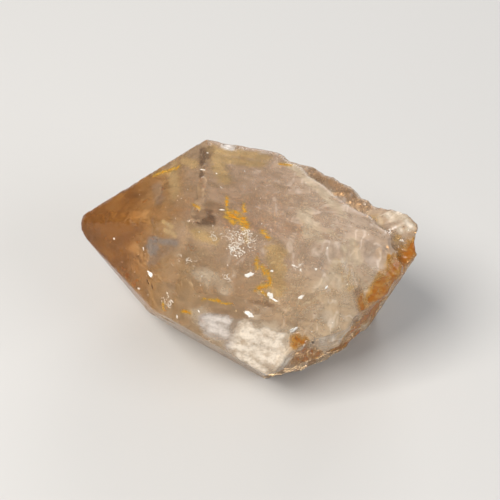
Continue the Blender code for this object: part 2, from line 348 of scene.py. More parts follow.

# %% [markdown]
# Iron has left yellow and orange stains, ground water has frosted the lower front, and the inside
# shows pale bands. Dark windows, one of them bluish, are painted reflections, and part of the brown
# shade is painted shadow on the ledge behind the top face. Each mark is a few strokes, from one place
# to another with half their width, in millimetres on the crystal. Strokes need no picture and can be
# moved one by one.

# %% Say where the marks are
MARKS = {
    # bright iron stains on and just under the front edge
    "stain": [
        ((22.8, -5.6, 27.8), (25.5, -7.4, 27.8), 0.95), ((22.6, -6.4, 27.8), (23.8, -7.2, 27.8), 0.6),
        ((23.7, -5.2, 27.8), (25.6, -6.8, 27.8), 0.7), ((24.6, -3.4, 27.8), (25.0, -4.9, 27.8), 0.45),
        ((22.2, -2.7, 27.8), (22.6, -5.3, 27.8), 0.4), ((17.9, -5.1, 27.8), (18.8, -5.7, 27.8), 0.45),
        ((27.7, -7.6, 27.8), (28.7, -8.3, 27.3), 0.6), ((27.6, -9.9, 24.6), (28.0, -10.6, 23.4), 0.5),
        ((28.6, -10.4, 23.7), (29.2, -10.9, 22.8), 0.55), ((28.5, -12.1, 20.8), (29.9, -11.7, 21.5), 0.75),
        ((29.5, -10.7, 23.2), (30.3, -11.7, 21.5), 0.45), ((29.2, -12.2, 20.6), (29.9, -12.2, 20.2), 0.5),
        ((21.5, -13.5, 18.3), (23.7, -13.4, 18.5), 0.4), ((24.1, -13.5, 18.2), (25.4, -13.4, 18.4), 0.35),
        ((18.8, -14.7, 16.3), (19.9, -14.6, 16.3), 0.45), ((16.1, -13.5, 15.8), (16.4, -14.2, 15.1), 0.4),
        ((28.9, 5.6, 27.8), (30.2, 5.8, 27.8), 0.5), ((11.3, 3.9, 22.8), (14.4, 3.7, 25.2), 0.7),
    ],
    # browner iron on the broken base and the foot
    "rust": [
        ((49.2, -1.9, 23.9), (48.6, -3.8, 23.6), 1.9), ((48.4, -3.8, 23.6), (47.0, -6.4, 23.3), 2.9),
        ((46.6, -6.4, 23.6), (45.2, -8.5, 22.2), 1.8), ((44.8, -8.6, 22.3), (44.5, -9.8, 20.1), 1.2),
        ((47.0, -6.4, 23.3), (46.0, -8.4, 21.0), 3.1), ((45.2, -8.8, 20.4), (45.6, -6.4, 14.5), 2.8),
        ((47.2, -1.2, 9.3), (45.1, -5.4, 10.5), 1.8), ((45.1, -5.4, 10.5), (43.1, -8.2, 9.9), 1.4),
        ((49.2, -3.6, 26.0), (48.3, -5.4, 22.0), 1.8), ((48.3, -5.4, 20.2), (46.8, -7.9, 21.6), 1.6),
        ((48.3, -5.4, 20.2), (48.0, -2.5, 14.0), 2.4), ((48.0, -2.5, 14.0), (47.3, -1.3, 10.3), 2.6),
        ((45.0, -9.7, 20.1), (46.1, -3.5, 9.2), 1.9), ((45.2, -4.7, 6.7), (43.6, -5.3, 3.2), 1.6),
        ((48.2, 2.6, 1.3), (45.2, -4.7, 6.7), 1.4), ((47.3, -1.3, 10.3), (45.2, -4.7, 6.7), 1.9),
        ((35.3, -15.3, 15.3), (36.3, -12.5, 7.0), 1.4), ((36.2, -15.4, 15.0), (37.6, -11.5, 5.8), 1.3),
        ((38.1, -11.8, 9.1), (39.1, -8.4, 1.7), 1.3), ((39.0, -11.2, 7.8), (40.8, -7.4, 3.4), 1.2),
        ((42.7, -10.3, 20.6), (43.6, -10.6, 18.8), 0.85),
        ((49.0, 4.0, 22.0), (48.5, 7.0, 12.0), 1.9), ((45.0, 12.0, 16.0), (43.0, 13.0, 8.0), 1.6),
    ],
    # pale yellow bands in the glass
    "cream": [
        ((18.8, 5.9, 27.8), (26.5, 6.3, 27.8), 1.5), ((19.6, 4.4, 27.8), (26.2, 4.9, 27.8), 1.4),
        ((13.5, 4.8, 24.5), (15.2, -2.2, 25.8), 1.6), ((15.1, 4.9, 25.8), (17.1, 2.8, 27.3), 1.2),
        ((19.8, 4.0, 27.8), (21.4, 0.4, 27.8), 1.7), ((14.2, -6.6, 24.8), (15.6, -7.6, 25.3), 0.6),
        ((14.7, -7.4, 24.1), (16.3, -8.6, 24.8), 0.6), ((25.4, -8.1, 27.6), (26.0, -8.8, 26.4), 0.6),
        ((30.1, -9.2, 25.7), (31.2, -11.9, 21.1), 2.4), ((39.0, -8.8, 25.0), (40.7, -10.1, 22.7), 1.6),
        ((42.5, -9.1, 10.4), (44.9, -5.0, 6.2), 0.8), ((19.0, -8.9, 26.3), (21.6, -9.2, 25.8), 1.3),
        ((46.9, -1.0, 24.1), (45.8, -6.4, 24.7), 1.0), ((44.7, -8.2, 23.1), (43.9, -10.0, 20.1), 1.0),
    ],
    # painted dark reflections: dark windows where the glass seems to show its own far side
    "painted_reflection_window": [
        ((17.5, 6.0, 27.7), (17.9, 2.9, 27.8), 0.8), ((18.6, 6.0, 27.8), (18.3, 4.2, 27.8), 0.9),
        ((18.1, 1.3, 27.8), (18.1, 0.4, 27.8), 0.55), ((18.8, -6.5, 27.8), (20.2, -6.1, 27.8), 0.9),
        ((18.9, -7.4, 27.8), (20.6, -7.0, 27.8), 0.95), ((19.3, -8.1, 27.6), (20.9, -7.8, 27.8), 0.9),
    ],
    # soft brown tone deeper in the glass, and painted shadow on the ledge behind the top face
    "brown_and_painted_shadow": [
        ((11.9, 1.3, 23.3), (13.0, -2.1, 24.1), 1.4), ((42.3, -10.1, 21.6), (43.5, -10.6, 18.8), 1.3),
        ((43.3, -10.7, 18.8), (44.0, -7.0, 11.1), 1.1), ((38.9, 5.8, 24.7), (42.3, 3.6, 24.2), 1.0),
        ((28.0, -12.9, 19.2), (31.0, -13.1, 19.1), 0.6), ((20.5, -5.0, 27.8), (22.5, -6.0, 27.8), 1.6),
        ((18.3, -0.2, 27.8), (18.4, -4.4, 27.8), 0.6), ((34.0, 9.3, 23.7), (36.8, 7.2, 24.2), 1.6),
        ((36.8, 7.2, 24.2), (39.6, 5.2, 24.3), 1.6), ((39.6, 5.2, 24.3), (42.0, 3.6, 24.2), 1.4),
        ((28.0, -14.5, 16.4), (32.0, -14.3, 16.9), 0.8), ((17.0, -9.0, 24.2), (13.0, -9.5, 19.0), 1.2),
    ],
    # a painted reflection: one cooler, bluish window on the front of the tip
    "painted_cool_reflection": [
        ((12.8, -7.3, 21.2), (13.6, -7.7, 22.0), 0.85), ((12.9, -7.8, 20.5), (13.8, -8.3, 21.2), 0.95),
        ((13.1, -8.2, 20.0), (13.8, -8.6, 20.5), 0.85), ((14.2, -8.0, 22.3), (16.6, -9.2, 24.0), 0.7),
    ],
    # rough white frost
    "frost": [
        ((22.2, -14.7, 15.7), (25.4, -14.6, 16.1), 1.3), ((23.3, -15.3, 14.5), (25.3, -15.5, 14.5), 1.9),
        ((27.7, -16.5, 13.0), (33.5, -16.7, 12.0), 2.7), ((32.6, -15.2, 14.4), (34.6, -15.7, 10.2), 2.2),
        ((30.6, -14.8, 15.4), (32.9, -15.0, 15.1), 1.5), ((27.8, -14.8, 15.6), (30.4, -15.1, 14.6), 1.8),
        ((22.3, -14.9, 15.2), (25.2, -15.4, 14.7), 1.6), ((27.3, -15.3, 14.7), (33.1, -15.7, 13.6), 1.8),
        ((27.5, -16.6, 12.0), (31.5, -17.5, 9.8), 1.9), ((30.8, -17.6, 9.8), (33.0, -17.4, 9.0), 1.6),
        ((27.0, -16.5, 13.2), (32.9, -16.9, 11.5), 2.0), ((45.1, 2.2, 25.1), (47.2, -0.3, 24.9), 0.8),
        ((46.4, 2.4, 25.8), (48.3, 0.3, 25.5), 1.1),
        ((38.9, -12.9, 13.7), (40.2, -8.0, 4.0), 1.0), ((39.5, -12.8, 17.5), (40.7, -11.6, 11.9), 0.8),
    ],
    # a thinner milky veil round the frost and down the right side
    "veil": [
        ((21.5, -14.8, 16.1), (25.0, -15.9, 14.0), 2.4), ((25.6, -16.6, 13.0), (31.2, -17.4, 10.7), 3.0),
        ((29.2, -14.6, 16.0), (34.5, -15.0, 15.4), 2.2), ((33.2, -3.2, 27.8), (34.5, -6.7, 27.8), 2.0),
        ((34.6, -5.0, 27.8), (35.6, -7.1, 27.8), 1.5), ((37.1, -11.0, 22.7), (39.7, -8.1, 25.0), 1.5),
        ((39.6, -8.4, 25.0), (40.8, -11.0, 20.5), 0.9), ((40.8, -6.9, 26.5), (41.2, -9.7, 23.0), 0.8),
        ((36.6, -13.4, 15.0), (39.8, -11.8, 11.0), 1.5), ((38.7, -11.5, 8.8), (41.8, -6.5, 2.5), 1.2),
        ((20.5, -11.6, 21.6), (24.2, -12.6, 20.0), 1.8), ((38.5, -12.6, 18.5), (40.7, -12.0, 16.5), 1.4),
        ((30.5, 6.0, 27.8), (36.0, 1.0, 27.8), 1.6), ((35.5, 1.0, 27.8), (41.0, -5.0, 26.5), 1.2),
        ((43.5, 2.0, 25.2), (45.0, -5.0, 24.0), 1.4), ((36.9, -5.7, 27.8), (39.4, -7.2, 26.4), 1.0),
        ((40.0, -6.4, 27.8), (41.5, -7.7, 25.0), 1.0), ((38.4, -8.7, 25.3), (39.7, -10.6, 22.0), 0.9),
    ],
}
print(sum(len(strokes) for strokes in MARKS.values()), "strokes of", len(MARKS), "kinds")

# %% [markdown]
# The back, the foot and the break get strokes at seeded places, or the crystal would look new from
# there. Then each point of the skin stores how deep in each kind of mark it lies.

# %% Mark the far sides and store the marks
HIDDEN_MARKS = [
    # kind, number of strokes, least and most half width, nearest and farthest from the tip
    ("stain", 16, 0.3, 1.0, 8.0, 44.0), ("rust", 16, 0.8, 2.2, 38.0, 50.0),
    ("cream", 12, 1.0, 2.2, 10.0, 44.0), ("brown_and_painted_shadow", 8, 0.9, 2.0, 12.0, 44.0),
    ("frost", 12, 0.8, 2.4, 18.0, 46.0), ("veil", 16, 1.2, 2.8, 16.0, 48.0),
]
FACING_BACK, FACING_DOWN, FACING_BREAK = 0.12, -0.5, 0.75
STROKE_LEAN = (2.0, 1.0, 1.0)


def mark_field(strokes):
    """How deep each point of the skin lies in a mark: 1 in its middle, 0 at its rim, -1 far outside."""
    field = np.full(len(local), -1.0)
    for start, end, half_width in strokes:
        start, along = np.array(start), np.array(end) - np.array(start)
        share = np.clip((local - start) @ along / (along @ along), 0, 1)
        distance = np.linalg.norm(local - start - share[:, None] * along, axis=1)
        field = np.maximum(field, 1 - distance / half_width)
    return field


def store(mesh, name, values):
    """Keeps one number for each point of a mesh, where a material can read it."""
    layer = mesh.attributes.new(name, "FLOAT", "POINT")
    layer.data.foreach_set("value", np.asarray(values, np.float32))


random.seed(5)
local = points - np.array(sharp_tip) / MM
hidden = (ways[:, 1] > FACING_BACK) | (ways[:, 2] < FACING_DOWN) | (ways[:, 0] > FACING_BREAK)
for kind, count, thin, wide, nearest, farthest in HIDDEN_MARKS:
    there = np.flatnonzero(hidden & (local[:, 0] > nearest) & (local[:, 0] < farthest))
    for _ in range(count):
        start = local[random.choice(there)]
        lean = np.array([random.gauss(0, spread) for spread in STROKE_LEAN])
        MARKS[kind].append((tuple(start), tuple(start + lean), random.uniform(thin, wide)))
for kind, strokes in MARKS.items():
    field = mark_field(strokes)
    store(skin_mesh, kind, field)
    print(f"{kind}: {len(strokes)} strokes cover {(field > 0).mean():.1%} of the skin")
store(skin_mesh, "broken", broken)

# %% [markdown]
# Materials are built from nodes. A few small helpers keep that readable: one adds a node with its
# inputs, one gives places on the crystal in millimetres, and one gives a noise of a stated size.

# %% Make helpers for materials
def add_node(tree, kind, inputs=(), **settings):
    """A new node. Inputs are pairs of a socket's name or number and a value or another socket."""
    made = tree.nodes.new(kind)
    for name, value in settings.items():
        setattr(made, name, value)
    for socket, value in inputs:
        if isinstance(value, bpy.types.NodeSocket):
            tree.links.new(value, made.inputs[socket])
        else:
            made.inputs[socket].default_value = value
    return made


def new_material(name):
    """An empty material with its Principled shader, and the places on the crystal in millimetres."""
    material = bpy.data.materials.new(name)
    material.use_nodes = True
    tree = material.node_tree
    coordinates = add_node(tree, "ShaderNodeTexCoord").outputs["Object"]
    where = add_node(tree, "ShaderNodeMapping", [
        ("Vector", coordinates), ("Location", -sharp_tip / MM), ("Scale", (1 / MM, 1 / MM, 1 / MM)),
    ]).outputs[0]
    return material, tree, tree.nodes["Principled BSDF"], where


def noise_of(tree, where, lengths, seed, detail=3.0, roughness=0.55, distortion=0.0, turn=(0, 0, 0)):
    """A noise from 0 to 1 with bumps of a length along each way, in millimetres."""
    stretched = add_node(tree, "ShaderNodeMapping", [
        ("Vector", where), ("Rotation", turn), ("Scale", tuple(1 / length for length in lengths)),
    ]).outputs[0]
    return add_node(tree, "ShaderNodeTexNoise", [
        ("Vector", stretched), ("W", seed), ("Scale", 1.0), ("Detail", detail),
        ("Roughness", roughness), ("Distortion", distortion),
    ], noise_dimensions="4D").outputs[0]


def between(tree, value, low_end, high_end, out_low=0.0, out_high=1.0):
    """A value brought from one range to another, with soft ends."""
    return add_node(tree, "ShaderNodeMapRange", [
        ("Value", value), ("From Min", low_end), ("From Max", high_end),
        ("To Min", out_low), ("To Max", out_high),
    ], interpolation_type="SMOOTHSTEP").outputs[0]


def maths(tree, operation, first, second=0.0):
    """One or two values taken through a sum of any kind."""
    return add_node(tree, "ShaderNodeMath", [(0, first), (1, second)], operation=operation).outputs[0]


def sum_of(tree, first, second):
    """Two values added."""
    return maths(tree, "ADD", first, second)


def product_of(tree, first, second):
    """One value multiplied by another."""
    return maths(tree, "MULTIPLY", first, second)


def blended(tree, share, first, second):
    """A colour that goes from the first to the second as the share goes from 0 to 1."""
    mixer = add_node(tree, "ShaderNodeMix", data_type="RGBA")
    for socket, value in (("Factor_Float", share), ("A_Color", first), ("B_Color", second)):
        target = next(s for s in mixer.inputs if s.identifier == socket)
        if isinstance(value, bpy.types.NodeSocket):
            tree.links.new(value, target)
        else:
            target.default_value = value if isinstance(value, float) else (*value, 1)
    return next(s for s in mixer.outputs if s.identifier == "Result_Color")


def scaled(tree, colour, factor):
    """A colour made lighter or darker by a factor, with its hue kept."""
    return add_node(
        tree, "ShaderNodeVectorMath", [(0, colour), ("Scale", factor)], operation="SCALE"
    ).outputs[0]


def ramp_of(tree, value, stops):
    """A colour for each value, from a list of stops."""
    ramp = add_node(tree, "ShaderNodeValToRGB", [(0, value)])
    elements = ramp.color_ramp.elements
    while len(elements) < len(stops):
        elements.new(0.5)
    for element, (place, colour) in zip(elements, stops):
        element.position = place
        element.color = (*colour, 1)
    return ramp.outputs["Color"]


def bump_into(tree, shader, height, strength, distance):
    """Gives a shader a fine relief. The distance is in millimetres."""
    bump = add_node(tree, "ShaderNodeBump", [
        ("Strength", strength), ("Distance", distance * MM), ("Height", height),
    ])
    tree.links.new(bump.outputs[0], shader.inputs["Normal"])


def mark_share(tree, where, kind, wobble, lengths, softness, seed):
    """How much of a mark shows at each place: its stored field, with its rim frayed by a noise."""
    field = add_node(tree, "ShaderNodeAttribute", attribute_name=kind).outputs["Fac"]
    frays = noise_of(tree, where, lengths, seed, detail=5.0, roughness=0.65)
    moved = sum_of(tree, field, product_of(tree, sum_of(tree, frays, -0.5), wobble))
    return between(tree, moved, 0.0, softness)


print("the helpers are ready")

# %% [markdown]
# Citrine changes along its length, from amber in the tip to milky at the base, with a ragged front.
# The glass and its coat share that front, so one helper measures the way along the crystal for
# both: its length, a little slanted, pushed to and fro by a cloudy noise.

# %% Measure the way along the crystal
LENGTH_OF_RAMP = 52.0
SLANT = 0.16
CLOUD_LENGTHS = (6.0, 4.0, 4.0)
CLOUD_PUSH = 9.0


def way_along(tree, where):
    """The place's own parts, the cloud, how far it pushes, and the share of the way to the base."""
    parts = add_node(tree, "ShaderNodeSeparateXYZ", [(0, where)]).outputs
    slant = sum_of(tree, parts["X"], product_of(tree, parts["Y"], SLANT))
    cloud = noise_of(tree, where, CLOUD_LENGTHS, 3.0, detail=5.0, roughness=0.6)
    push = product_of(tree, sum_of(tree, cloud, -0.5), CLOUD_PUSH)
    along = maths(tree, "DIVIDE", sum_of(tree, slant, push), LENGTH_OF_RAMP)
    return parts, cloud, push, along


print(f"the colours run over {LENGTH_OF_RAMP:.0f} mm")

# %% [markdown]
# The body of the crystal is see-through quartz with a warm tint and a haze of tiny inclusions. To
# model each would take millions of specks, so a patterned colour carries the haze: amber in the
# tip, tan in the middle, and milky towards the base.

# %% Colour the citrine glass
BODY_COLOURS = [
    (0.00, (0.54, 0.190, 0.018)), (0.17, (0.58, 0.220, 0.028)), (0.26, (0.83, 0.52, 0.200)),
    (0.33, (0.92, 0.72, 0.440)), (0.50, (0.95, 0.78, 0.530)), (0.62, (0.96, 0.81, 0.590)),
    (0.72, (0.97, 0.85, 0.660)), (0.88, (0.96, 0.82, 0.600)), (1.00, (0.90, 0.66, 0.370)),
]
BROWN = (0.50, 0.33, 0.18)
MILK = (0.97, 0.91, 0.82)
# the window and cool marks paint dark reflections into the glass, and the shade mark paints brown tone
# and, on the ledge, shadow
GLASS_MARKS = [
    # kind, colour, how far the rim wanders and over what length, how soft the rim is, seed
    ("cream", (0.85, 0.66, 0.34), 2.0, 1.8, 1.2, 11.0),
    ("painted_reflection_window", (0.44, 0.32, 0.22), 0.5, 0.8, 0.7, 12.0),
    ("brown_and_painted_shadow", BROWN, 1.6, 1.5, 1.8, 14.0),
    ("painted_cool_reflection", (0.60, 0.55, 0.50), 0.5, 1.2, 0.8, 13.0),
]
MILK_START, MILK_FULL = 26.0, 37.0

glass, tree, quartz, where = new_material("citrine_glass")
parts, cloud, push, along = way_along(tree, where)
colour = ramp_of(tree, along, BODY_COLOURS)
streaks = noise_of(tree, where, (7.0, 0.5, 0.5), 5.0, detail=4.0)
colour = blended(tree, between(tree, streaks, 0.50, 0.75, 0.0, 0.22), colour, BROWN)
mottle = noise_of(tree, where, (2.4, 1.5, 1.5), 7.0, detail=6.0, roughness=0.72)
colour = scaled(tree, colour, between(tree, mottle, 0.36, 0.64, 0.88, 1.04))
wisps = noise_of(
    tree, where, (2.6, 1.3, 3.4), 8.0, detail=6.0, roughness=0.62, distortion=1.2, turn=(0.3, 0.2, 0.5)
)
to_base = between(tree, sum_of(tree, parts["X"], push), MILK_START, MILK_FULL)
milk_share = product_of(tree, between(tree, wisps, 0.45, 0.65, 0.0, 0.6), to_base)
colour = blended(tree, milk_share, colour, MILK)
for kind, own, wobble, length, softness, seed in GLASS_MARKS:
    share = mark_share(tree, where, kind, wobble, (length,) * 3, softness, seed)
    colour = blended(tree, share, colour, own)
tree.links.new(colour, quartz.inputs["Base Color"])
print(f"the colour of the glass takes {len(tree.nodes)} nodes")

# %% [markdown]
# The rest of the glass is quartz's own: its refraction, and an absorption that deepens the colour
# with the thickness. The faces are polished, with faint lines along the crystal and a few smears.
# The breaks are a little duller.

# %% Finish the glass
QUARTZ_IOR = 1.544
CLEAR_SHARE = 0.90
TINT = (0.90, 0.66, 0.38, 1)
TINT_DENSITY = 16.0
SMEAR_ROUGHNESS = 0.06
BREAK_ROUGHNESS = 0.05

break_share = add_node(tree, "ShaderNodeAttribute", attribute_name="broken").outputs["Fac"]
smears = noise_of(tree, where, (1.6, 1.6, 1.6), 17.0, detail=5.0)
roughness = sum_of(
    tree, between(tree, smears, 0.40, 0.75, 0.0, SMEAR_ROUGHNESS),
    product_of(tree, break_share, BREAK_ROUGHNESS),
)
tree.links.new(roughness, quartz.inputs["Roughness"])

lines = noise_of(tree, where, (14.0, 0.22, 0.22), 21.0)
grain = noise_of(tree, where, (0.30, 0.30, 0.30), 23.0, detail=4.0)
height = sum_of(tree, lines, product_of(tree, grain, break_share))
bump_into(tree, quartz, height, 0.2, 0.03)
quartz.inputs["IOR"].default_value = QUARTZ_IOR
quartz.inputs["Transmission Weight"].default_value = CLEAR_SHARE
absorption = add_node(
    tree, "ShaderNodeVolumeAbsorption", [("Color", TINT), ("Density", TINT_DENSITY)]
)
tree.links.new(absorption.outputs[0], tree.nodes["Material Output"].inputs["Volume"])
crystal.data.materials.clear()
crystal.data.materials.append(glass)
print(f"the glass is {CLEAR_SHARE:.0%} clear, with {len(tree.nodes)} nodes")

# %% [markdown]
# Iron, frost and milky haze lie on and just under the surface. They share one very thin coat: a
# copy of the skin, lifted by a hair. Where the coat's alpha is low the glass shows through. First
# comes the haze, thinnest behind the tip and thickest in the milky base, with faint white wisps in
# it. It is golden low down and a little mauve on top.

# %% Mix the haze
HAZE_COLOURS = [
    (0.00, (0.26, 0.092, 0.010)), (0.17, (0.29, 0.115, 0.018)), (0.26, (0.46, 0.26, 0.100)),
    (0.33, (0.51, 0.350, 0.215)), (0.50, (0.53, 0.375, 0.260)), (0.62, (0.58, 0.43, 0.300)),
    (0.72, (0.67, 0.525, 0.380)), (0.88, (0.61, 0.465, 0.325)), (1.00, (0.50, 0.33, 0.160)),
]
HAZE_COVER = [
    (0.00, 0.40), (0.20, 0.36), (0.30, 0.30), (0.52, 0.34), (0.70, 0.46), (0.85, 0.48), (1.00, 0.48),
]
WISP_WHITE = (0.92, 0.84, 0.74)
WISP_WIDTH = 0.055
WISP_START, WISP_FULL = 18.0, 30.0
PAINTED_REFLECTION_CLEARING = 0.85
GOLDEN = (1.02, 0.98, 0.88)
MAUVE = (0.95, 0.925, 0.97)
GOLDEN_BELOW, MAUVE_ABOVE = 20.0, 26.5

coat_matter, tree, coat, where = new_material("stained_coat")
parts, cloud, push, along = way_along(tree, where)
patches = noise_of(tree, where, (1.1, 0.8, 0.8), 31.0, detail=6.0, roughness=0.7)
fine = noise_of(tree, where, (0.28, 0.22, 0.22), 32.0, detail=4.0, roughness=0.6)
torn = noise_of(
    tree, where, (4.2, 2.4, 3.4), 93.0, detail=5.0, roughness=0.58, distortion=1.3, turn=(0.2, 0.4, 0.5)
)
arcs = noise_of(
    tree, where, (2.4, 4.4, 4.4), 97.0, detail=1.5, roughness=0.5, distortion=0.5, turn=(0.1, 0.6, 0.3)
)
patchy = between(tree, patches, 0.38, 0.62)
grainy = between(tree, fine, 0.30, 0.62)

cover = ramp_of(tree, along, [(place, (share,) * 3) for place, share in HAZE_COVER])
alpha = sum_of(tree, cover, between(tree, torn, 0.36, 0.64, -0.12, 0.16))
alpha = sum_of(tree, alpha, between(tree, grainy, 0.0, 1.0, -0.02, 0.02))
off_middle = maths(tree, "ABSOLUTE", sum_of(tree, arcs, -0.5))
faint = product_of(tree, between(tree, torn, 0.42, 0.62), cover)
past_tip = between(tree, parts["X"], WISP_START, WISP_FULL, 0.1, 1.0)
faint = product_of(tree, faint, past_tip)
wisp_share = product_of(tree, between(tree, off_middle, 0.0, WISP_WIDTH, 0.8, 0.0), faint)
alpha = sum_of(tree, alpha, product_of(tree, wisp_share, 0.5))
# the coat is cleared over the painted dark reflections of the window marks, so the darker glass shows
# there
painted_reflection_spot = mark_share(tree, where, "painted_reflection_window", 0.5, (0.8,) * 3, 0.7, 12.0)
clearing = maths(tree, "SUBTRACT", 1.0, product_of(tree, painted_reflection_spot, PAINTED_REFLECTION_CLEARING))
alpha = product_of(tree, maths(tree, "MAXIMUM", alpha, 0.02), clearing)

mottle = noise_of(tree, where, (2.2, 1.4, 1.4), 7.0, detail=5.0, roughness=0.62)
light = between(tree, mottle, 0.36, 0.64, 0.88, 1.12)
colour = scaled(tree, ramp_of(tree, along, HAZE_COLOURS), light)
warm = between(tree, parts["Z"], MAUVE_ABOVE, GOLDEN_BELOW)
warm = sum_of(tree, warm, sum_of(tree, cloud, -0.5))
tint = blended(tree, between(tree, warm, 0.0, 1.0), MAUVE, GOLDEN)
colour = add_node(
    tree, "ShaderNodeVectorMath", [(0, colour), (1, tint)], operation="MULTIPLY"
).outputs[0]
colour = blended(tree, wisp_share, colour, WISP_WHITE)
print(f"the haze takes {len(tree.nodes)} nodes")

# %% [markdown]
# Then each kind of mark is laid over the haze, one after another. Each has a colour at its rim and
# one in its middle. Its rim is frayed by a noise, so that it fades as raggedly as a real one does,
# and a second noise makes it patchy. The frost turns bluish towards the tip.

# %% Lay the marks over the haze
COAT_MARKS = [
    # kind, colour at its rim, colour in its middle, how far the rim wanders and over what lengths,
    # how soft the rim is, least and most cover, seed
    ("cream", (0.64, 0.425, 0.195), (0.68, 0.450, 0.205), 1.6, (1.6, 1.2, 1.2), 1.7, (0.40, 0.56), 11.0),
    # the shade row paints brown tone, and shadow on the ledge behind the top face
    ("brown_and_painted_shadow", (0.38, 0.245, 0.15), (0.31, 0.185, 0.10), 1.4, (1.8, 1.0, 1.0), 1.6, (0.36, 0.52), 14.0),
    # the cool row paints a dark bluish reflection
    ("painted_cool_reflection", (0.32, 0.250, 0.195), (0.27, 0.225, 0.200), 0.8, (1.2, 1.2, 1.2), 1.3, (0.44, 0.62), 13.0),
    ("veil", (0.70, 0.56, 0.40), (0.78, 0.65, 0.48), 1.6, (2.2, 1.8, 2.2), 1.6, (0.50, 0.74), 47.0),
    ("frost", (0.76, 0.63, 0.48), (0.88, 0.77, 0.63), 1.2, (1.1, 1.1, 1.1), 1.0, (0.68, 0.94), 51.0),
    ("rust", (0.52, 0.250, 0.045), (0.37, 0.118, 0.008), 1.5, (1.0, 1.2, 2.6), 1.05, (0.78, 0.97), 41.0),
    ("stain", (0.70, 0.41, 0.055), (0.66, 0.26, 0.004), 2.8, (0.8, 0.34, 0.42), 1.4, (0.80, 1.00), 33.0),
]
BLUISH = (0.66, 0.61, 0.58)
BLUISH_BELOW, WHITE_ABOVE = 25.5, 27.5

grain_part = product_of(tree, grainy, 0.35)
thick = sum_of(tree, grain_part, product_of(tree, patchy, 0.65))
for kind, rim, core, wobble, lengths, softness, cover, seed in COAT_MARKS:
    share = mark_share(tree, where, kind, wobble, lengths, softness, seed)
    covered = product_of(tree, share, between(tree, thick, 0.0, 1.0, *cover))
    tone = product_of(tree, share, sum_of(tree, patchy, 0.6))
    own = blended(tree, between(tree, tone, 0.40, 1.15), rim, core)
    if kind == "frost":
        to_tip = between(tree, parts["X"], WHITE_ABOVE, BLUISH_BELOW, 0.0, 0.7)
        own = blended(tree, to_tip, own, BLUISH)
    colour = blended(tree, between(tree, share, 0.0, 0.35), colour, own)
    alpha = maths(tree, "MAXIMUM", alpha, covered)
tree.links.new(colour, coat.inputs["Base Color"])
tree.links.new(alpha, coat.inputs["Alpha"])
print(len(COAT_MARKS), "kinds of mark lie in the coat")

# %% [markdown]
# The coat's own mesh is a copy of the skin, so it follows every step and nick. A copy is better
# than a second shader on the glass here, because the clear glass then stays plain quartz.

# %% Fit the coat to the crystal
LIFT = 0.012
COAT_ROUGHNESS = 0.2
bump_into(tree, coat, fine, 0.18, 0.04)
coat.inputs["Roughness"].default_value = COAT_ROUGHNESS

coat_mesh = skin_mesh.copy()
coat_mesh.name = "stained_coat"
lifted = (points + ways * LIFT) * MM
coat_mesh.vertices.foreach_set("co", lifted.astype(np.float32).ravel())
coat_mesh.materials.clear()
coat_mesh.materials.append(coat_matter)
stained_coat = put_in_scene("stained_coat", coat_mesh)
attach(stained_coat, "root")
print(f"the coat has {len(coat_mesh.polygons)} faces and {len(tree.nodes)} nodes")

# %% [markdown]
# Small things sit on and in the crystal. To place them, three helpers find the nearest point of the
# skin, the depth below it, and a turn that lies along it. A search tree makes that fast.

# %% Find places on and inside the crystal
skin_tree = BVHTree.FromPolygons(
    [Vector(place) for place in points], [tuple(face.vertices) for face in skin_mesh.polygons]
)
TIP = sharp_tip / MM


def nearest_skin(place):
    """The nearest point of the skin to a place in millimetres on the crystal, and the way it faces."""
    found, way, _, _ = skin_tree.find_nearest(TIP + Vector(place))
    return found, way


def depth_of(place):
    """How far inside the skin a place is, in millimetres. It is negative outside."""
    found, way = nearest_skin(place)
    return (found - TIP - Vector(place)).dot(way)


def frame_along(way, along):
    """A turn whose Z is one way and whose X is as near as it can be to another."""
    third = way.cross(along).normalized()
    first = third.cross(way).normalized()
    return Matrix((first, third, way)).transposed().to_4x4()


def random_way(spread=1.0):
    """A seeded step in any direction."""
    return Vector([random.gauss(0, spread) for _ in range(3)])


print(f"the middle of the crystal is {depth_of((25.0, 0.0, 14.0)):.1f} mm deep")

# %% [markdown]
# Each kind of small thing is one mesh of many simple lumps. A lump starts as a small ball, because
# that is closed and has few faces. It is made ragged by a noise, stretched and flattened, and
# turned to lie along the skin or along the crystal. Its material wanders between two colours.

# %% Make lumps and their materials
LUMP_BUMPS = 1.7
LUMP_SEED_STEP = 3.1


def add_lump(shape, centre, turn, sizes, detail=1, ragged=0.0):
    """A stretched and ragged little ball. The centre and the half sizes are in millimetres."""
    made = bmesh.ops.create_icosphere(shape, subdivisions=detail, radius=1.0)["verts"]
    for vert in made:
        if ragged:
            bumps = noise.noise(vert.co * LUMP_BUMPS + Vector(centre) * LUMP_SEED_STEP)
            vert.co *= 1 + ragged * bumps
    stretch = Matrix.Diagonal((*sizes, 1.0))
    place = Matrix.Scale(MM, 4) @ Matrix.Translation(centre) @ turn @ stretch
    bmesh.ops.transform(shape, matrix=place, verts=made)


def piece_of(name, shape, material, smooth=False):
    """One finished piece of the crystal, from a bmesh."""
    mesh = bpy.data.meshes.new(name)
    shape.to_mesh(mesh)
    shape.free()
    mesh.polygons.foreach_set("use_smooth", [smooth] * len(mesh.polygons))
    mesh.materials.append(material)
    piece = put_in_scene(name, mesh)
    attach(piece, "root")
    print(f"{name} has {len(mesh.polygons)} faces")
    return piece


def lump_material(name, first, second, length, roughness, seed):
    """A material that wanders between two colours."""
    material, tree, lump, where = new_material(name)
    patches = noise_of(tree, where, (length,) * 3, seed, detail=4.0)
    colour = blended(tree, between(tree, patches, 0.35, 0.65), first, second)
    tree.links.new(colour, lump.inputs["Base Color"])
    fine = noise_of(tree, where, (0.12, 0.12, 0.12), seed + 1, detail=2.0)
    bump_into(tree, lump, fine, 0.4, 0.03)
    lump.inputs["Roughness"].default_value = roughness
    return material


print("lumps can be made")
